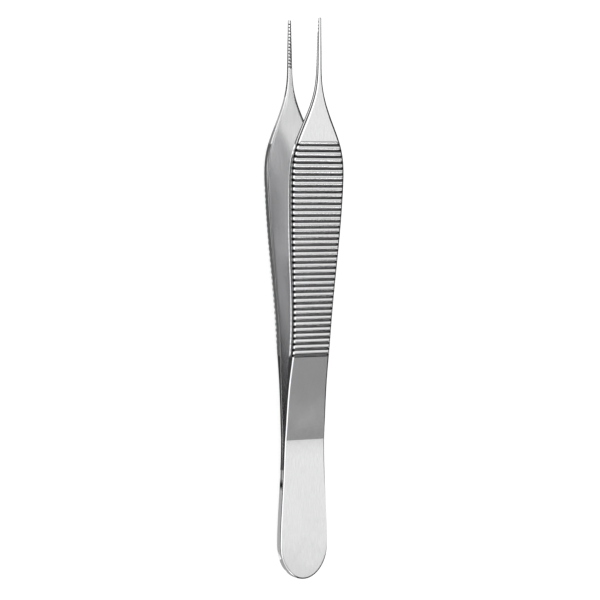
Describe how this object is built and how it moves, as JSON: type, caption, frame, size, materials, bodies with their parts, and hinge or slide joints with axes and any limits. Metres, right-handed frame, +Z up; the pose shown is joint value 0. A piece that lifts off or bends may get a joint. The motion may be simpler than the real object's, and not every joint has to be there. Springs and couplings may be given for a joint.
{
  "type": "thumb forceps",
  "caption": "Fine-tipped steel thumb forceps: two spring arms welded at the heel, ribbed thumb pads and cross-serrated jaws, lying on one arm.",
  "frame": {"origin": "middle of the box's base, on the surface that the forceps lies on", "axes": "+Y from the heel to the tips, +X across the arms, +Z up, from the arm it lies on to the other arm"},
  "size_m": [0.0122, 0.1204, 0.0171],
  "materials": {
    "upper_arm_steel": "satin polished stainless steel",
    "lower_arm_steel": "satin polished stainless steel"
  },
  "bodies": {
    "root": {"upper_arm": "upper_arm_steel", "lower_arm": "lower_arm_steel"}
  },
  "joints": []
}
